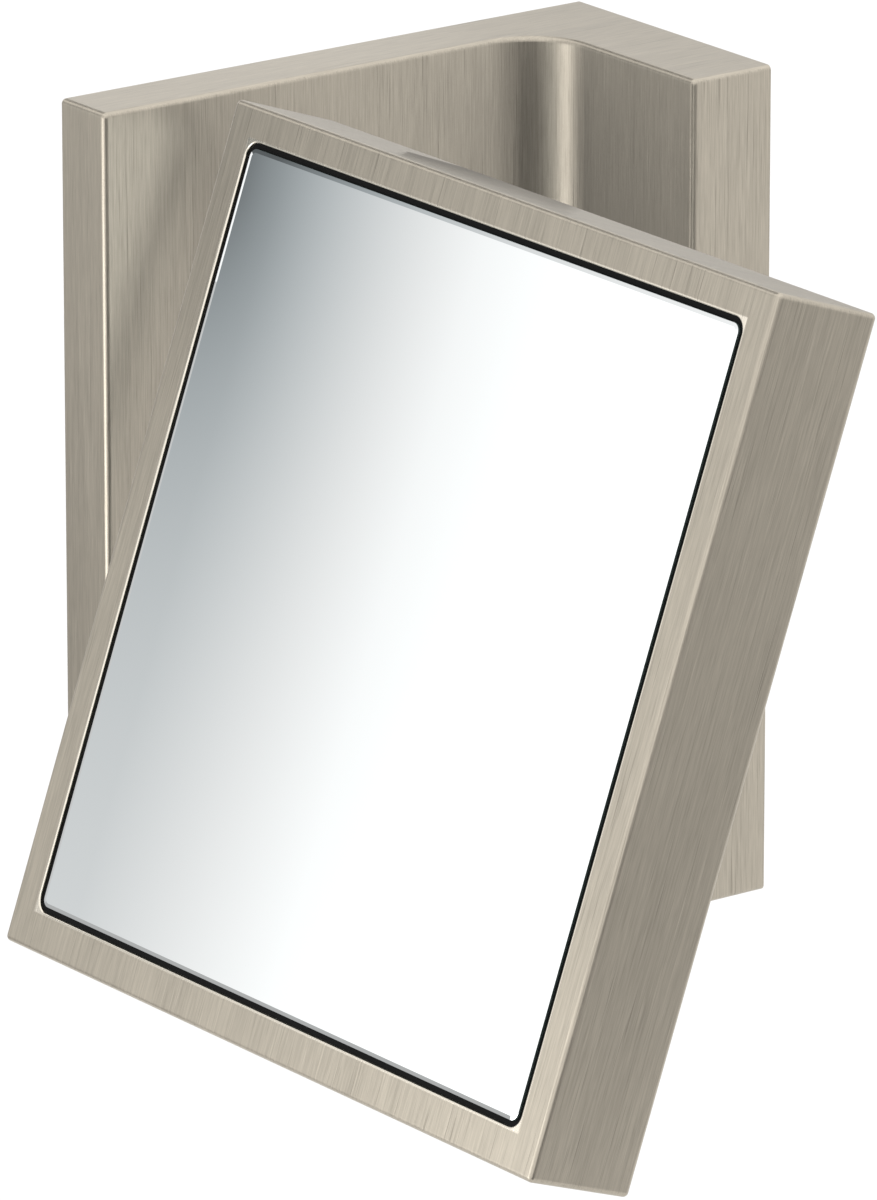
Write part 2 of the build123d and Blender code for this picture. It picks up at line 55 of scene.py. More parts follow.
JOINT_WIDTH = 1.15 * MM  # from the glass to the window's edge
LIP_WIDTH = 0.3 * MM  # the rounding of the window's edge
LIP_START, LIP_END = 1.2 * MM, 1.4 * MM  # in front of the middle of the glass
LIP_ROUGHNESS = 0.15
EDGE_ON, FACE_ON = 0.7, 0.85  # share of the way straight out of the glass
GROUND_ROUGHNESS = 0.45
HAZE_ROUGHNESS = 0.01
STANDING, LYING = 0.6, 0.85  # upward share of the way that a face looks
BRUSHING_SWING = 0.12  # how far the brushing moves the roughness
PAINTED_SHADE_REACH = 0.1  # painted shade: the colour darkens in inner corners where another face of the piece is nearer than this
# how strongly the painted shade darkens the nickel's colour
PAINTED_SHADE_SHARE = 0.95


# ---------------------------------------------------------------- settings


class MetalSettings(bpy.types.PropertyGroup):
    """Colours and grain of the metal finishes."""

    nickel: FloatVectorProperty(
        name="Nickel", description="Colour of the brushed nickel", subtype="COLOR", size=3,
        min=0, max=1, default=(0.455, 0.412, 0.342))
    # Painted highlight: the lip's colour is lighter than the nickel so that it stands for the bright line
    # along it.
    polished_nickel_and_highlight: FloatVectorProperty(
        name="Polished Nickel", description="Colour of the polished lip round the glass",
        subtype="COLOR", size=3, min=0, max=1, default=(0.78, 0.72, 0.62))
    grain_contrast: FloatProperty(
        name="Grain Contrast", description="How far the grain lightens and darkens the colour",
        min=0, max=1, default=0.5)
    nickel_roughness: FloatProperty(
        name="Nickel Roughness", description="How far the brushing spreads a reflection",
        min=0, max=1, default=0.34)
    grain_width: FloatProperty(
        name="Grain Width", description="Distance between the fine lines of the brushing",
        unit="LENGTH", min=0, default=0.2 * MM)
    grain_length: FloatProperty(
        name="Grain Length", description="Usual length of a fine line",
        unit="LENGTH", min=0, default=6 * MM)
    grain_depth: FloatProperty(
        name="Grain Depth", description="Depth of the brushing", unit="LENGTH", min=0,
        default=0.01 * MM)
    zinc: FloatVectorProperty(
        name="Zinc", description="Colour of the zinc-plated sheet", subtype="COLOR", size=3,
        min=0, max=1, default=(0.5, 0.51, 0.52))
    steel: FloatVectorProperty(
        name="Stainless", description="Colour of the turned stainless steel", subtype="COLOR", size=3,
        min=0, max=1, default=(0.52, 0.51, 0.49))
    bronze: FloatVectorProperty(
        name="Bronze", description="Colour of the sintered bronze", subtype="COLOR", size=3,
        min=0, max=1, default=(0.45, 0.26, 0.11))


class GlassSettings(bpy.types.PropertyGroup):
    """Colours of the mirror and what holds it."""

    silver: FloatVectorProperty(
        name="Silvering", description="Tint of the mirror's reflection", subtype="COLOR", size=3,
        min=0, max=1, default=(0.93, 0.95, 0.95))
    edge: FloatVectorProperty(
        name="Ground Edge", description="Colour of the glass seen at its edge", subtype="COLOR",
        size=3, min=0, max=1, default=(0.20, 0.27, 0.25))
    seal: FloatVectorProperty(
        name="Seal", description="Colour of the seal round the glass", subtype="COLOR", size=3,
        min=0, max=1, default=(0.004, 0.004, 0.004))


class StudioSettings(bpy.types.PropertyGroup):
    """The camera, the floor and the light."""

    aim: FloatVectorProperty(
        name="Aim", description="Point at the middle of the picture", subtype="XYZ", unit="LENGTH",
        size=3, default=(0.0471, -0.0891, -0.0017))
    azimuth: FloatProperty(
        name="Azimuth", description="Turn of the camera round the mirror, from straight on",
        subtype="ANGLE", unit="ROTATION", default=math.radians(53.41))
    elevation: FloatProperty(
        name="Elevation", description="Height of the camera above level",
        subtype="ANGLE", unit="ROTATION", default=math.radians(17.53))
    distance: FloatProperty(
        name="Distance", description="From the camera to the aim point", unit="LENGTH", min=0,
        default=2.094)
    lens: FloatProperty(
        name="Lens", description="Focal length in millimetres", min=1, default=348.6)
    floor_drop: FloatProperty(
        name="Floor Drop", description="From the middle of the mirror down to the floor",
        unit="LENGTH", min=0, default=0.6)
    level_light: FloatProperty(
        name="Level Light", description="Brightness of the room at eye height", min=0, default=1.06)
    overhead_light: FloatProperty(
        name="Overhead Light", description="Brightness of the room overhead", min=0, default=1.42)


# ---------------------------------------------------------------- node helpers


def feed(tree, socket, value):
    """Links the socket to the one given, or sets the value given on it."""
    if isinstance(value, bpy.types.NodeSocket):
        tree.links.new(value, socket)
    else:
        socket.default_value = value


def add_node(tree, kind, inputs=None, **options):
    """Adds a node with its options; an input is given as a value or as the socket that feeds it."""
    made = tree.nodes.new(kind)
    for name, value in options.items():
        setattr(made, name, value)
    for name, value in (inputs or {}).items():
        feed(tree, made.inputs[name], value)
    return made


def maths(tree, operation, first, second=0.0):
    return add_node(tree, "ShaderNodeMath", {0: first, 1: second}, operation=operation).outputs[0]


def vector_maths(tree, operation, first, second):
    return add_node(tree, "ShaderNodeVectorMath", {0: first, 1: second}, operation=operation).outputs[0]


def scaled(tree, vector, scale):
    inputs = {0: vector, "Scale": scale}
    return add_node(tree, "ShaderNodeVectorMath", inputs, operation="SCALE").outputs[0]


def length_of(tree, vector):
    return add_node(tree, "ShaderNodeVectorMath", {0: vector}, operation="LENGTH").outputs["Value"]


def along_axis(tree, vector, axis):
    """How far the vector goes along the axis."""
    inputs = {0: vector, 1: tuple(axis)}
    return add_node(tree, "ShaderNodeVectorMath", inputs, operation="DOT_PRODUCT").outputs["Value"]


def ramp_between(tree, value, low, high, out_low=0.0, out_high=1.0):
    """A value eased from out_low to out_high as it goes from low to high."""
    inputs = {"Value": value, "From Min": low, "From Max": high, "To Min": out_low, "To Max": out_high}
    return add_node(tree, "ShaderNodeMapRange", inputs, interpolation_type="SMOOTHSTEP").outputs["Result"]


def mix_values(tree, factor, first, second):
    inputs = {"Factor": factor, "A": first, "B": second}
    return add_node(tree, "ShaderNodeMix", inputs, data_type="FLOAT").outputs["Result"]


def mix_colours(tree, factor, first, second, blend="MIX"):
    made = add_node(tree, "ShaderNodeMix", data_type="RGBA", blend_type=blend)
    for name, value in (("Factor_Float", factor), ("A_Color", first), ("B_Color", second)):
        feed(tree, next(socket for socket in made.inputs if socket.identifier == name), value)
    return next(socket for socket in made.outputs if socket.identifier == "Result_Color")


def noise(tree, vector, scale=1.0, detail=2.0, roughness=0.5):
    inputs = {"Vector": vector, "Scale": scale, "Detail": detail, "Roughness": roughness}
    return add_node(tree, "ShaderNodeTexNoise", inputs).outputs["Fac"]


def opaque(colour):
    return (*colour, 1.0)


def new_group(name, inputs, outputs):
    """An empty shader group; inputs and outputs are (name, kind, default) rows."""
    group = bpy.data.node_groups.new(name, "ShaderNodeTree")
    for side, rows in (("INPUT", inputs), ("OUTPUT", outputs)):
        for label, kind, default in rows:
            socket = group.interface.new_socket(label, in_out=side, socket_type="NodeSocket" + kind)
            if default is not None:
                socket.default_value = default
    return group, group.nodes.new("NodeGroupInput").outputs, group.nodes.new("NodeGroupOutput").inputs


def place_group(tree, group, inputs):
    """Places a shared effect in a material and gives its outputs."""
    return add_node(tree, "ShaderNodeGroup", inputs, node_tree=bpy.data.node_groups[group]).outputs


# ---------------------------------------------------------------- shared effects


def build_brushing():
    """Straight brushed lines: upright on standing faces, and front to back on lying faces."""
    group, given, result = new_group(
        "Brushing",
        [("Position", "Vector", None), ("Face", "Vector", None), ("Line Width", "Float", 0.16 * MM),
         ("Line Length", "Float", 9 * MM)],
        [("Height", "Float", None), ("Tone", "Float", None), ("Spread", "Float", None)])
    thin = maths(group, "DIVIDE", 1.0, given["Line Width"])
    long = maths(group, "DIVIDE", 1.0, given["Line Length"])
    facing = add_node(group, "ShaderNodeSeparateXYZ", {0: given["Face"]})
    lying = ramp_between(group, maths(group, "ABSOLUTE", facing.outputs["Z"]), STANDING, LYING)

    def lines(widths, lengths, detail, roughness):
        """Noise drawn out into lines that are some line widths wide and line lengths long."""
        narrow = maths(group, "DIVIDE", thin, widths)
        drawn = maths(group, "DIVIDE", long, lengths)
        upright = add_node(group, "ShaderNodeCombineXYZ", {"X": narrow, "Y": narrow, "Z": drawn}).outputs[0]
        inward = add_node(group, "ShaderNodeCombineXYZ", {"X": narrow, "Y": drawn, "Z": narrow}).outputs[0]
        on_standing, on_lying = (
            noise(group, vector_maths(group, "MULTIPLY", given["Position"], stretch), 1.0, detail, roughness)
            for stretch in (upright, inward))
        return mix_values(group, lying, on_standing, on_lying)

    fine = lines(widths=1.0, lengths=1.0, detail=2.0, roughness=0.6)
    medium = lines(widths=2.2, lengths=4.0, detail=2.0, roughness=0.6)
    broad = lines(widths=25.0, lengths=12.0, detail=1.0, roughness=0.5)
    scores = ramp_between(group, lines(widths=1.3, lengths=3.0, detail=0.0, roughness=0.5), 0.68, 0.82)
    height = maths(group, "ADD", fine, maths(group, "MULTIPLY", medium, 0.8))
    group.links.new(maths(group, "SUBTRACT", height, scores), result["Height"])
    tone = maths(group, "SUBTRACT", 0.0, maths(group, "MULTIPLY", scores, 0.2))
    for layer, share in ((fine, 0.5), (medium, 0.35), (broad, 0.15)):
        tone = maths(group, "ADD", tone, maths(group, "MULTIPLY", layer, share))
    group.links.new(tone, result["Tone"])
    group.links.new(maths(group, "SUBTRACT", medium, 0.5), result["Spread"])


def build_turning():
    """Fine lathe lines round the hinge axis."""
    group, given, result = new_group(
        "Turning", [("Position", "Vector", None), ("Pitch", "Float", 0.12 * MM)],
        [("Height", "Float", None), ("Tone", "Float", None)])
    away = vector_maths(group, "SUBTRACT", given["Position"], tuple(PIVOT))
    parts = add_node(group, "ShaderNodeSeparateXYZ", {0: away})
    flat = add_node(group, "ShaderNodeCombineXYZ", {"Y": parts.outputs["Y"], "Z": parts.outputs["Z"]})
    radius = length_of(group, flat.outputs[0])
    across = add_node(group, "ShaderNodeCombineXYZ", {"X": parts.outputs["X"], "Y": radius}).outputs[0]
    finer = maths(group, "DIVIDE", 1.0, given["Pitch"])
    lines = noise(group, scaled(group, across, finer), detail=2.0, roughness=0.6)
    group.links.new(lines, result["Height"])
    group.links.new(ramp_between(group, lines, 0.3, 0.7), result["Tone"])


def build_tumbling():
    """The dull, even grain and small dents of a pressed or cast piece."""
    group, given, result = new_group(
        "Tumbling", [("Position", "Vector", None), ("Grain Size", "Float", 0.3 * MM)],
        [("Height", "Float", None), ("Tone", "Float", None)])
    finer = maths(group, "DIVIDE", 1.0, given["Grain Size"])
    grains = noise(group, given["Position"], finer, detail=3.0, roughness=0.6)
    patches = noise(group, given["Position"], maths(group, "MULTIPLY", finer, 0.12))
    inputs = {"Vector": given["Position"], "Scale": maths(group, "MULTIPLY", finer, 0.5)}
    pits = add_node(group, "ShaderNodeTexVoronoi", inputs).outputs["Distance"]
    dents = ramp_between(group, pits, 0.0, 0.25)
    group.links.new(maths(group, "ADD", grains, maths(group, "MULTIPLY", dents, 0.4)), result["Height"])
    group.links.new(maths(group, "ADD", maths(group, "MULTIPLY", grains, 0.4),
                          maths(group, "MULTIPLY", patches, 0.6)), result["Tone"])


EFFECTS = (build_brushing, build_turning, build_tumbling)


# ---------------------------------------------------------------- materials


def new_material(name, **constants):
    """A material with one Principled shader; constants are set on its own sockets."""
    material = bpy.data.materials.new(name)
    material.use_nodes = True
    tree = material.node_tree
    shader = tree.nodes["Principled BSDF"]
    for socket, value in constants.items():
        shader.inputs[socket.replace("_", " ")].default_value = value
    coordinates = tree.nodes.new("ShaderNodeTexCoord").outputs
    return material, tree, shader, coordinates


def surface(tree, shader, colour=None, roughness=None, height=None, depth=0.0):
    """Feeds the shader's colour, roughness and bump; depth is the bump's in metres."""
    if colour is not None:
        tree.links.new(colour, shader.inputs["Base Color"])
    if roughness is not None:
        tree.links.new(roughness, shader.inputs["Roughness"])
    if height is not None:
        bump = add_node(tree, "ShaderNodeBump", {"Height": height, "Distance": depth, "Strength": 1.0})
        tree.links.new(bump.outputs["Normal"], shader.inputs["Normal"])


def shaded(tree, tone, colour, spread):
    """The colour made lighter and darker by spread as the tone goes from 0 to 1."""
    darker = opaque([channel * (1 - spread) for channel in colour])
    lighter = opaque([min(1, channel * (1 + spread)) for channel in colour])
    return mix_colours(tree, tone, darker, lighter)


def window_lip_polish_and_highlight(tree, position):
    """1 on the narrow polished lip round the glass, 0 elsewhere; there the lip is smoother and carries a
    painted highlight.
    """
    low, high = (Vector(corner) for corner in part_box("mirror_glass"))
    middle = (low + high) / 2
    window_half = (high.x - low.x) / 2 + JOINT_WIDTH
    offset = vector_maths(tree, "SUBTRACT", position, tuple(middle))
    sideways, upward, forward = (
        along_axis(tree, offset, axis) for axis in (ACROSS, HEAD_UP, HEAD_FRONT))
    reach = maths(tree, "MAXIMUM", maths(tree, "ABSOLUTE", sideways), maths(tree, "ABSOLUTE", upward))
    rounding = ramp_between(tree, reach, window_half + LIP_WIDTH, window_half + 2 * LIP_WIDTH, 1.0, 0.0)
    return maths(tree, "MULTIPLY", rounding, ramp_between(tree, forward, LIP_START, LIP_END))


def brushed_nickel(name, settings, lean=0.0, lip=False):
    """Brushed nickel with painted shade darkening its inner corners, its grain along axes that lean back by
    an angle.
    """
    material, tree, shader, coordinates = new_material(name, Metallic=1.0)
    position, face = coordinates["Object"], coordinates["Normal"]
    if lean:
        position, face = (
            add_node(tree, "ShaderNodeVectorRotate", {"Vector": vector, "Angle": lean},
                     rotation_type="X_AXIS").outputs[0] for vector in (position, face))
    grain = place_group(tree, "Brushing", {
        "Position": position, "Face": face, "Line Width": settings.grain_width,
        "Line Length": settings.grain_length})
    roughness = maths(tree, "ADD", settings.nickel_roughness,
                      maths(tree, "MULTIPLY", grain["Spread"], BRUSHING_SWING))
    # Painted shade: ambient occlusion darkens the colour in the piece's own inner corners.
    painted_shade = add_node(tree, "ShaderNodeAmbientOcclusion", {"Distance": PAINTED_SHADE_REACH}, only_local=True,
                      samples=6)
    colour = mix_colours(
        tree, PAINTED_SHADE_SHARE, shaded(tree, grain["Tone"], settings.nickel, settings.grain_contrast),
        painted_shade.outputs["Color"], "MULTIPLY")
    # The polished lip: its lower roughness is real, and its lighter colour is a painted highlight.
    if lip:
        polished = window_lip_polish_and_highlight(tree, coordinates["Object"])
        colour = mix_colours(tree, polished, colour, opaque(settings.polished_nickel_and_highlight))
        roughness = mix_values(tree, polished, roughness, LIP_ROUGHNESS)
    surface(tree, shader, colour, roughness, grain["Height"], settings.grain_depth)
    return material


def uneven(tree, tone, roughness):
    """The roughness, a little less where the tone is 0 and a little more where it is 1."""
    return mix_values(tree, tone, roughness * 0.85, roughness * 1.15)


def turned_metal(name, colour, roughness, pitch=0.12 * MM, depth=0.006 * MM, spread=0.08):
    """A lathe-turned finish with fine lines round the hinge axis."""
    material, tree, shader, coordinates = new_material(name, Metallic=1.0)
    lines = place_group(tree, "Turning", {"Position": coordinates["Object"], "Pitch": pitch})
    surface(tree, shader, shaded(tree, lines["Tone"], colour, spread),
            uneven(tree, lines["Tone"], roughness), lines["Height"], depth)
    return material


def tumbled(name, colour, roughness, grain=0.3 * MM, depth=0.01 * MM, spread=0.1, Metallic=1.0,
            **constants):
    """A cast, pressed, plated or moulded finish with an even fine grain."""
    material, tree, shader, coordinates = new_material(name, Metallic=Metallic, **constants)
    grains = place_group(tree, "Tumbling", {"Position": coordinates["Object"], "Grain Size": grain})
    surface(tree, shader, shaded(tree, grains["Tone"], colour, spread),
            uneven(tree, grains["Tone"], roughness), grains["Height"], depth)
    return material


def mirror_silver(name, settings):
    """Silver on the front, its bevel and the back, and ground glass round the edge."""
    material, tree, shader, coordinates = new_material(name, Metallic=1.0)
    facing = along_axis(tree, coordinates["Normal"], HEAD_FRONT)
    polished = ramp_between(tree, maths(tree, "ABSOLUTE", facing), EDGE_ON, FACE_ON)
    haze = noise(tree, coordinates["Object"], scale=60.0, detail=3.0, roughness=0.6)
    roughness = mix_values(tree, polished, GROUND_ROUGHNESS, maths(tree, "MULTIPLY", haze, HAZE_ROUGHNESS))
    colour = mix_colours(tree, polished, opaque(settings.edge), opaque(settings.silver))
    surface(tree, shader, colour, roughness)
    return material


# ---------------------------------------------------------------- pieces


def put_finish(material, *names):
    """Gives the material to every slot of each named CAD piece."""
    for name in names:
        slots = NODES[name].material_slots
        if not slots:
            raise RuntimeError(f"{name} has no material slot")
        for held in slots:
            held.material = material


class MIRROR_OT_effects(bpy.types.Operator):
    """Build the shader groups that the finishes share"""

    bl_idname = "mirror.effects"
    bl_label = "Surface Effects"
    bl_options = {"REGISTER", "UNDO"}

    def execute(self, context):
        for build in EFFECTS:
            build()
        return {"FINISHED"}


class MIRROR_OT_bracket(bpy.types.Operator):
    """Brush the wall bracket along its height, and its top and bottom from front to back"""

    bl_idname = "mirror.bracket"
    bl_label = "Bracket Body"
    bl_options = {"REGISTER", "UNDO"}

    def execute(self, context):
        metals = context.scene.mirror_metals
        put_finish(brushed_nickel("Nickel_Bracket", metals), "bracket_body")
        return {"FINISHED"}


class MIRROR_OT_head_shell(bpy.types.Operator):
    """Brush the head frame and its back cover along the head's own height"""

    bl_idname = "mirror.head_shell"
    bl_label = "Head Frame and Back Cover"
    bl_options = {"REGISTER", "UNDO"}

    def execute(self, context):
        metals = context.scene.mirror_metals
        put_finish(brushed_nickel("Nickel_Head", metals, HEAD_LEAN, lip=True), "head_frame", "back_cover")
        return {"FINISHED"}


class MIRROR_OT_glass(bpy.types.Operator):
    """Silver the mirror glass and grind its edge"""

    bl_idname = "mirror.glass"
    bl_label = "Mirror Glass"
    bl_options = {"REGISTER", "UNDO"}

    def execute(self, context):
        glass = context.scene.mirror_glass
        put_finish(mirror_silver("Silvered_Glass", glass), "mirror_glass")
        return {"FINISHED"}


class MIRROR_OT_glass_bed(bpy.types.Operator):
    """Finish the seal, the tapes and the sheet that carry the glass"""

    bl_idname = "mirror.glass_bed"
    bl_label = "Seal, Tapes and Carrier"
    bl_options = {"REGISTER", "UNDO"}

    def execute(self, context):
        glass = context.scene.mirror_glass
        put_finish(tumbled("Black_Seal", glass.seal, 0.7, Metallic=0.0, Specular_IOR_Level=0.1,
                           grain=0.2 * MM), "glass_seal")
        put_finish(tumbled("Foam_Tape", (0.06, 0.06, 0.06), 0.9, Metallic=0.0, grain=0.5 * MM,
                           depth=0.1 * MM), "adhesive_strips")
        put_finish(tumbled("Carrier_Sheet", (0.55, 0.55, 0.56), 0.4, grain=0.8 * MM), "mirror_carrier")
        return {"FINISHED"}


class MIRROR_OT_wall_fixing(bpy.types.Operator):
    """Finish the wall plate and the screws that lock the bracket"""

    bl_idname = "mirror.wall_fixing"
    bl_label = "Wall Plate and Locking Screws"
    bl_options = {"REGISTER", "UNDO"}

    def execute(self, context):
        metals = context.scene.mirror_metals
        put_finish(tumbled("Zinc_Plate", metals.zinc, 0.38, grain=1.2 * MM, spread=0.14),
                   "wall_mount_plate")
        put_finish(tumbled("Black_Oxide", (0.03, 0.03, 0.032), 0.4, grain=0.2 * MM),
                   "mount_locking_screws", "axle_locking_screw")
        return {"FINISHED"}


class MIRROR_OT_hinge(bpy.types.Operator):
    """Finish the axle, the stop, the friction stack and the hinge block"""

    bl_idname = "mirror.hinge"
    bl_label = "Hinge"
    bl_options = {"REGISTER", "UNDO"}

    def execute(self, context):
        metals = context.scene.mirror_metals
        put_finish(turned_metal("Turned_Stainless", metals.steel, 0.28),
                   "hinge_axle", "tilt_stop", "thrust_washer")
        put_finish(turned_metal("Spring_Steel", (0.2, 0.18, 0.16), 0.35), "disc_springs")
        put_finish(turned_metal("Sintered_Bronze", metals.bronze, 0.42), "axle_bushes")
        put_finish(tumbled("Acetal", (0.78, 0.76, 0.71), 0.5, Metallic=0.0, grain=0.25 * MM,
                           depth=0.004 * MM, spread=0.04),
                   "outer_friction_washer", "inner_friction_washer")
        put_finish(tumbled("Cast_Alloy", (0.42, 0.42, 0.43), 0.5, grain=0.5 * MM, depth=0.04 * MM),
                   "hinge_block")
        return {"FINISHED"}


class MIRROR_OT_fasteners(bpy.types.Operator):
    """Plate the nut and the screws of the head"""

    bl_idname = "mirror.fasteners"
    bl_label = "Nut and Screws"
    bl_options = {"REGISTER", "UNDO"}

    def execute(self, context):
        put_finish(tumbled("Plated_Steel", (0.6, 0.6, 0.59), 0.22, grain=0.4 * MM, depth=0.004 * MM),
                   "lock_nut", "hinge_block_screws", "carrier_screws", "back_cover_screws")
        return {"FINISHED"}


# ---------------------------------------------------------------- stage

SENSOR_WIDTH = 36  # millimetres, as the lens is
CLIP_START, CLIP_END = 0.05, 60
FLOOR_WIDTH = 24
FLOOR_DARKER, FLOOR_LIGHTER = (0.79,) * 3, (0.81,) * 3
WHITE = (1, 1, 1)
OVERHEAD_START, OVERHEAD_END = 0.3, 0.75  # sine of the angle above level

# Cards for the metal to reflect: name, aim point, azimuth, elevation, distance, width, height, brightness.
CARDS = (
    ("Low_Strip", (0, 0, 0), -4, -13, 0.45, 0.24, 0.2, 3.1),
    ("Key_Card", (0, 0, 0), 38, 14, 1.6, 0.5, 0.6, 1.6),
    ("Camera_Flag", (0, 0, 0), 63, -14, 1.2, 0.85, 0.6, 0.02),
    ("Corner_Flag", (-0.008, -0.024, 0.03), 45, -10, 0.05, 0.033, 0.12, 0.3),
    ("Side_Flag", (0.16, -0.15, 0.05), 120, -17, 0.33, 0.3, 0.3, 0.55),
    ("Back_Flag", (0, 0, 0), -129, -11, 1.5, 1.0, 0.6, 0.2),
    ("Top_Flag", (0.06, 0.03, 0.08), -126.6, 17.5, 0.35, 0.2, 0.2, 0.9),
    ("Rim_Flag", (0.08, -0.09, 0.08), -99.5, 39.5, 0.8, 0.45, 0.35, 0.25),
    ("Arm_Flag", (-0.02, -0.118, 0), -58, -24, 0.75, 0.5, 0.35, 0.45),
    ("Bevel_Flag", (-0.01, -0.118, 0), -76, -17, 1.0, 0.5, 0.8, 0.6),
)
REFLECTED_PIECES = ("mirror_glass", "glass_seal")  # no other piece shows in a reflection

# The fade card's distance from the glass and its size.
FADE_GAP = 0.8
FADE_WIDTH = 1.4
FADE_LOW, FADE_HIGH = -0.7, 0.33

# What it shows in the glass, measured on the glass from its middle.
FADE_STEPS = ((-0.060, 0.0, 0.77, 1.13), (0.0, 0.07, 0.0, 0.15))  # left, right, brightness at each
DARK_CORNER = (-0.074, 0.066)
DARK_REACH = 0.041
DARK_SHARE = 0.8
DARK_DROP = 0.58  # below 1, the dark reaches further down than across
TOP_START, TOP_END, TOP_BRIGHTNESS = 0.085, 0.16, 0.75
COOL_WHITE = (0.92, 1.0, 1.04)


def glowing(name, colour, strength):
    """A material that only glows."""
    material = bpy.data.materials.new(name)
    material.use_nodes = True
    tree = material.node_tree
    tree.nodes.clear()
    glow = add_node(tree, "ShaderNodeEmission", {"Color": opaque(colour), "Strength": strength})
    output = tree.nodes.new("ShaderNodeOutputMaterial")
    tree.links.new(glow.outputs[0], output.inputs["Surface"])
    return material


def flat_sheet(name, middle, along, up, width, height, material):
    """A flat stage sheet whose own X and Y run along and up."""
    made = bmesh.new()
    corners = [(-0.5, -0.5), (0.5, -0.5), (0.5, 0.5), (-0.5, 0.5)]
    made.faces.new([made.verts.new((x * width, y * height, 0)) for x, y in corners])
    mesh = bpy.data.meshes.new(name)
    made.to_mesh(mesh)
    made.free()
    mesh.materials.append(material)
    sheet = bpy.data.objects.new(name, mesh)
    bpy.context.scene.collection.objects.link(sheet)
    facing = along.cross(up)
    turn = Matrix((along, up, facing)).transposed().to_4x4()
    sheet.matrix_world = Matrix.Translation(middle) @ turn
    return sheet


def back_towards(azimuth, elevation):
    """The direction from the mirror to a place at that azimuth and elevation."""
    level = math.cos(elevation)
    return Vector((math.sin(azimuth) * level, -math.cos(azimuth) * level, math.sin(elevation)))


def make_camera(settings):
    """A camera that looks at the aim point from the azimuth, elevation and distance set."""
    data = bpy.data.cameras.new("Camera")
    data.lens = settings.lens
    data.sensor_width = SENSOR_WIDTH
    data.clip_start = CLIP_START
    data.clip_end = CLIP_END
    camera = bpy.data.objects.new("Camera", data)
    bpy.context.scene.collection.objects.link(camera)
    back = back_towards(settings.azimuth, settings.elevation)
    camera.location = Vector(settings.aim) + back * settings.distance
    camera.rotation_mode = "QUATERNION"
    camera.rotation_quaternion = (-back).to_track_quat("-Z", "Y")
    bpy.context.scene.camera = camera


def make_floor(settings):
    """A pale matt floor, slightly cloudy."""
    material, tree, shader, coordinates = new_material("Pale_Floor", Roughness=0.9, Specular_IOR_Level=0.0)
    cloud = noise(tree, coordinates["Object"], scale=0.8, detail=2.0, roughness=0.5)
    surface(tree, shader, mix_colours(tree, cloud, opaque(FLOOR_DARKER), opaque(FLOOR_LIGHTER)))
    flat_sheet("Floor", Vector((0, 0, -settings.floor_drop)), Vector((1, 0, 0)), Vector((0, 1, 0)),
               FLOOR_WIDTH, FLOOR_WIDTH, material)


def make_world(settings):
    """Even white light from all round, a little brighter overhead."""
    world = bpy.data.worlds.new("Room")
    bpy.context.scene.world = world
    world.use_nodes = True
    tree = world.node_tree
    background = tree.nodes["Background"]
    background.inputs["Color"].default_value = opaque(WHITE)
    direction = tree.nodes.new("ShaderNodeTexCoord").outputs["Generated"]
    height = add_node(tree, "ShaderNodeSeparateXYZ", {0: direction}).outputs["Z"]
    light = ramp_between(
        tree, height, OVERHEAD_START, OVERHEAD_END, settings.level_light, settings.overhead_light)
    tree.links.new(light, background.inputs["Strength"])


def reflected_sheet(*sheet):
    """A flat sheet that shows only in reflections."""
    card = flat_sheet(*sheet)
    card.visible_camera = False
    card.visible_diffuse = False
    card.visible_shadow = False


def make_card(name, aim, azimuth, elevation, distance, width, height, brightness):
    """A glowing or dark card that faces the aim point."""
    out = back_towards(math.radians(azimuth), math.radians(elevation))
    along = Vector((0, 0, 1)).cross(out).normalized()
    material = glowing(name, WHITE, brightness)
    reflected_sheet(name, Vector(aim) + out * distance, along, out.cross(along), width, height, material)


def fade_level(tree, place):
    """Brightness over the fade card, by where the glass mirrors it: dark at the upper left corner."""
    spot = add_node(tree, "ShaderNodeSeparateXYZ", {0: place})
    sideways = maths(tree, "ADD", *(
        add_node(tree, "ShaderNodeMapRange", {
            "Value": spot.outputs["X"], "From Min": left, "From Max": right, "To Min": at_left,
            "To Max": at_right}).outputs["Result"]
        for left, right, at_left, at_right in FADE_STEPS))
    corner_left, corner_top = DARK_CORNER
    beyond = maths(tree, "MAXIMUM", maths(tree, "SUBTRACT", spot.outputs["X"], corner_left), 0.0)
    below = maths(tree, "MAXIMUM", maths(tree, "SUBTRACT", corner_top, spot.outputs["Y"]), 0.0)
    drop = maths(tree, "MULTIPLY", below, DARK_DROP)
    offset = add_node(tree, "ShaderNodeCombineXYZ", {"X": beyond, "Y": drop})
    reach = length_of(tree, offset.outputs[0])
    dark = maths(tree, "POWER", math.e, maths(tree, "DIVIDE", reach, -DARK_REACH))
    shade = maths(tree, "SUBTRACT", 1.0, maths(tree, "MULTIPLY", dark, DARK_SHARE))
    above = ramp_between(tree, spot.outputs["Y"], TOP_START, TOP_END, 1.0, TOP_BRIGHTNESS)
    return maths(tree, "MULTIPLY", maths(tree, "MULTIPLY", sideways, shade), above)


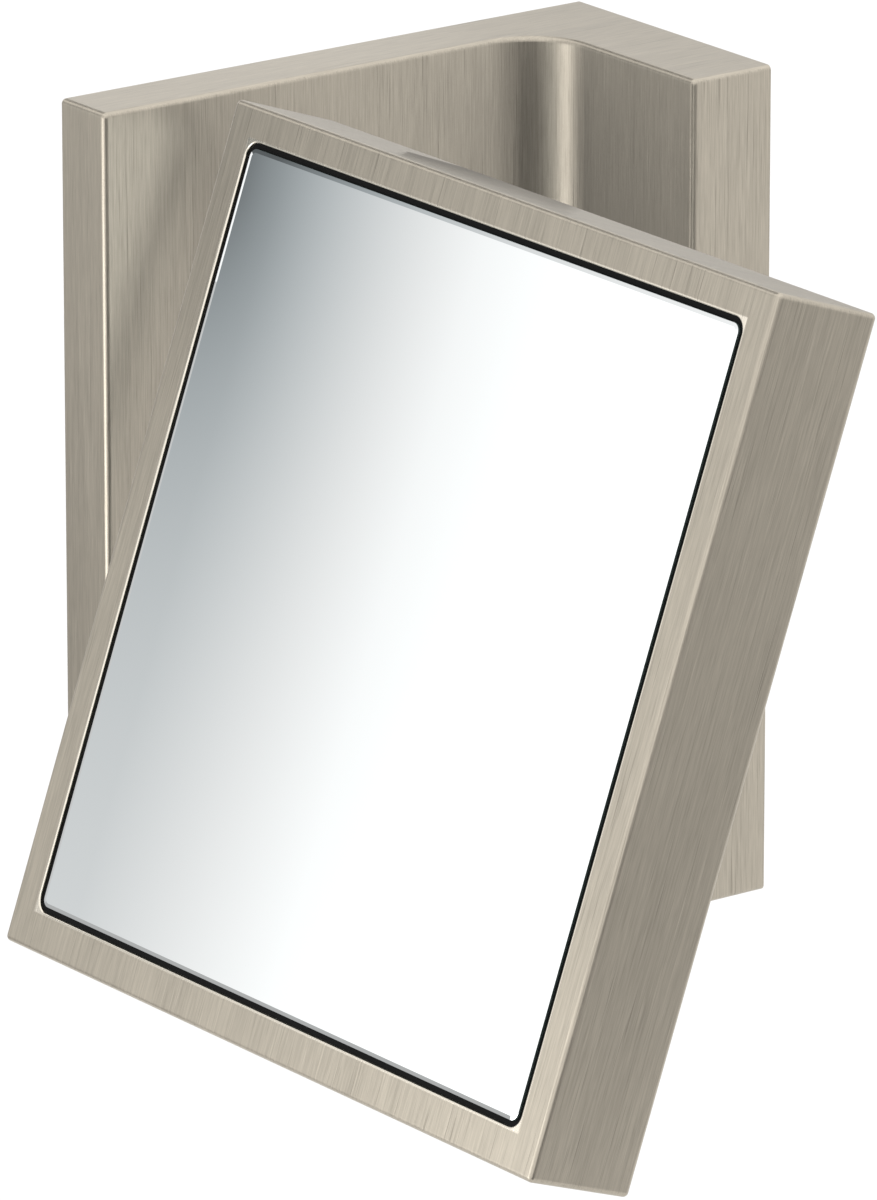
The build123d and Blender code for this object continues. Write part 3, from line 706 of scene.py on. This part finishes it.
def make_fade_card(settings):
    """The card that the mirror reflects: dark at its upper left, white on its right."""
    glass_low, glass_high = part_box("mirror_glass")
    middle = (Vector(glass_low) + Vector(glass_high)) / 2
    eye = Vector(settings.aim) + back_towards(settings.azimuth, settings.elevation) * settings.distance
    to_eye = eye - middle
    away = -to_eye.normalized().reflect(HEAD_FRONT)
    throw = (to_eye.length + FADE_GAP) / to_eye.length
    card_rise = (FADE_LOW + FADE_HIGH) / 2
    material = glowing("Fade_Card", WHITE, 1.0)
    tree = material.node_tree
    place = tree.nodes.new("ShaderNodeTexCoord").outputs["Object"]
    place = scaled(tree, place, 1 / throw)
    level = fade_level(tree, vector_maths(tree, "ADD", place, (0, card_rise / throw, 0)))
    tint = mix_colours(tree, ramp_between(tree, level, 0.2, 0.9), opaque(COOL_WHITE), opaque(WHITE))
    glow = tree.nodes["Emission"].inputs
    tree.links.new(tint, glow["Color"])
    tree.links.new(level, glow["Strength"])
    card_middle = middle + away * FADE_GAP + HEAD_UP * card_rise
    reflected_sheet("Fade_Card", card_middle, ACROSS, HEAD_UP, FADE_WIDTH, FADE_HIGH - FADE_LOW, material)


class MIRROR_OT_stage(bpy.types.Operator):
    """Set up the camera, the pale floor and the studio light"""

    bl_idname = "mirror.stage"
    bl_label = "Studio"
    bl_options = {"REGISTER", "UNDO"}

    def execute(self, context):
        settings = context.scene.mirror_studio
        context.scene.view_settings.view_transform = "Standard"
        make_camera(settings)
        make_floor(settings)
        make_world(settings)
        make_fade_card(settings)
        for card in CARDS:
            make_card(*card)
        for name, piece in NODES.items():
            piece.visible_glossy = name in REFLECTED_PIECES
        return {"FINISHED"}


# ---------------------------------------------------------------- add-on


STEPS = (
    MIRROR_OT_effects, MIRROR_OT_bracket, MIRROR_OT_head_shell, MIRROR_OT_glass, MIRROR_OT_glass_bed,
    MIRROR_OT_wall_fixing, MIRROR_OT_hinge, MIRROR_OT_fasteners, MIRROR_OT_stage)


class MIRROR_PT_panel(bpy.types.Panel):
    """Lists the steps in order, with the settings that they use"""

    bl_idname = "MIRROR_PT_panel"
    bl_label = "Shaving Mirror"
    bl_space_type = "VIEW_3D"
    bl_region_type = "UI"
    bl_category = "Mirror"

    def draw(self, context):
        for holder in (context.scene.mirror_metals, context.scene.mirror_glass,
                       context.scene.mirror_studio):
            box = self.layout.box()
            for name in type(holder).__annotations__:
                box.prop(holder, name)
        for step in STEPS:
            self.layout.operator(step.bl_idname)


SETTINGS = {"mirror_metals": MetalSettings, "mirror_glass": GlassSettings, "mirror_studio": StudioSettings}
CLASSES = (*SETTINGS.values(), *STEPS, MIRROR_PT_panel)


def register():
    for made in CLASSES:
        bpy.utils.register_class(made)
    for name, group in SETTINGS.items():
        setattr(bpy.types.Scene, name, PointerProperty(type=group))


def unregister():
    for name in SETTINGS:
        delattr(bpy.types.Scene, name)
    for made in reversed(CLASSES):
        bpy.utils.unregister_class(made)


def main():
    """Runs every step in order."""
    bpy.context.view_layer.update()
    register()
    for step in STEPS:
        family, action = step.bl_idname.split(".")
        getattr(getattr(bpy.ops, family), action)()


if __name__ == "__main__":
    main()
